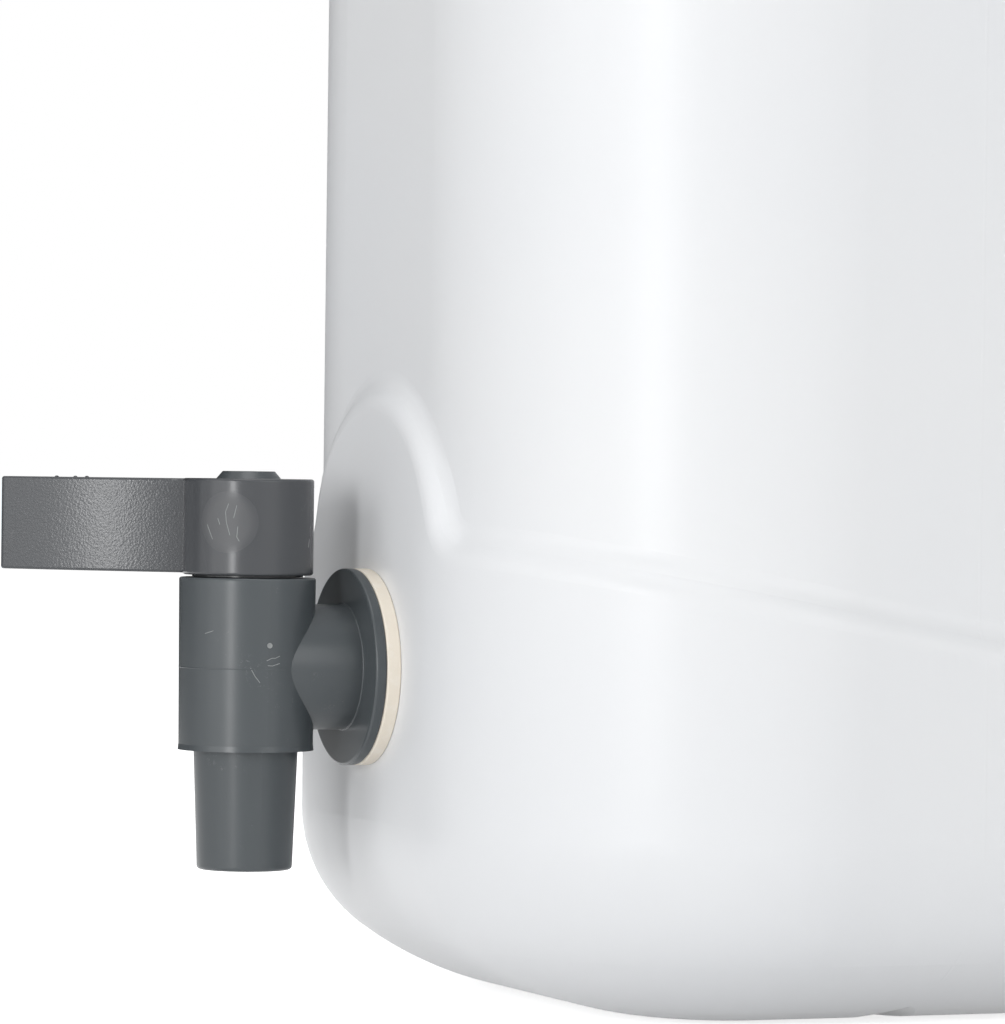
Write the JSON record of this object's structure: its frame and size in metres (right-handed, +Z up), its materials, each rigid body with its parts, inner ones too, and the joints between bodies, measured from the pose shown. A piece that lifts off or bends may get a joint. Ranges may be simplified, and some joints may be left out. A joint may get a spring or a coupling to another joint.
{
  "type": "carboy with spigot",
  "caption": "Rounded-square blow-moulded carboy with a screw cap, two loop handles, a sloping ledge that arches over the tap, and a quarter-turn lever spigot.",
  "frame": {"origin": "centre of the base on the vessel's axis, at the height of the face it rests on", "axes": "+Z up, -Y towards the spigot, X across the vessel in the mould's parting plane"},
  "size_m": [0.217, 0.2986, 0.36],
  "materials": {
    "vessel_hdpe": "natural blow-moulded HDPE, waxy, half gloss, slightly translucent",
    "cap_pp": "moulded white polypropylene",
    "liner_foam": "smooth polyethylene foam",
    "tap_pp": "moulded grey polypropylene, satin",
    "lever_pp": "moulded grey polypropylene with finely pebbled sides",
    "gasket_silicone": "cream silicone rubber",
    "o_ring_rubber": "black rubber"
  },
  "bodies": {
    "vessel": {"vessel": "vessel_hdpe", "tap_body": "tap_pp", "backnut": "tap_pp", "flange_gasket": "gasket_silicone", "inner_gasket": "gasket_silicone"},
    "tap_plug": {"tap_plug": "tap_pp", "lever": "lever_pp", "o_ring_lower": "o_ring_rubber", "o_ring_upper": "o_ring_rubber"},
    "cap_liner": {"cap_liner": "liner_foam"},
    "cap": {"cap": "cap_pp"}
  },
  "joints": [
    {"name": "spigot_turn", "type": "hinge", "parent": "vessel", "child": "tap_plug", "pos_m": [0, -0.1386, 0.0809], "axis": [0, 0, 1], "range_deg": [-58, 122]},
    {"name": "cap_lift", "type": "slide", "parent": "vessel", "child": "cap_liner", "axis": [0, 0, 1], "range_m": [0, 0.018]},
    {"name": "cap_turn", "type": "hinge", "parent": "cap_liner", "child": "cap", "pos_m": [0, 0, 0.356], "axis": [0, 0, 1], "range_deg": [0, 1080]}
  ],
  "couplings": [
    {"joint": "cap_lift", "follows": "cap_turn", "m_per_rad": 0.0009549}
  ]
}
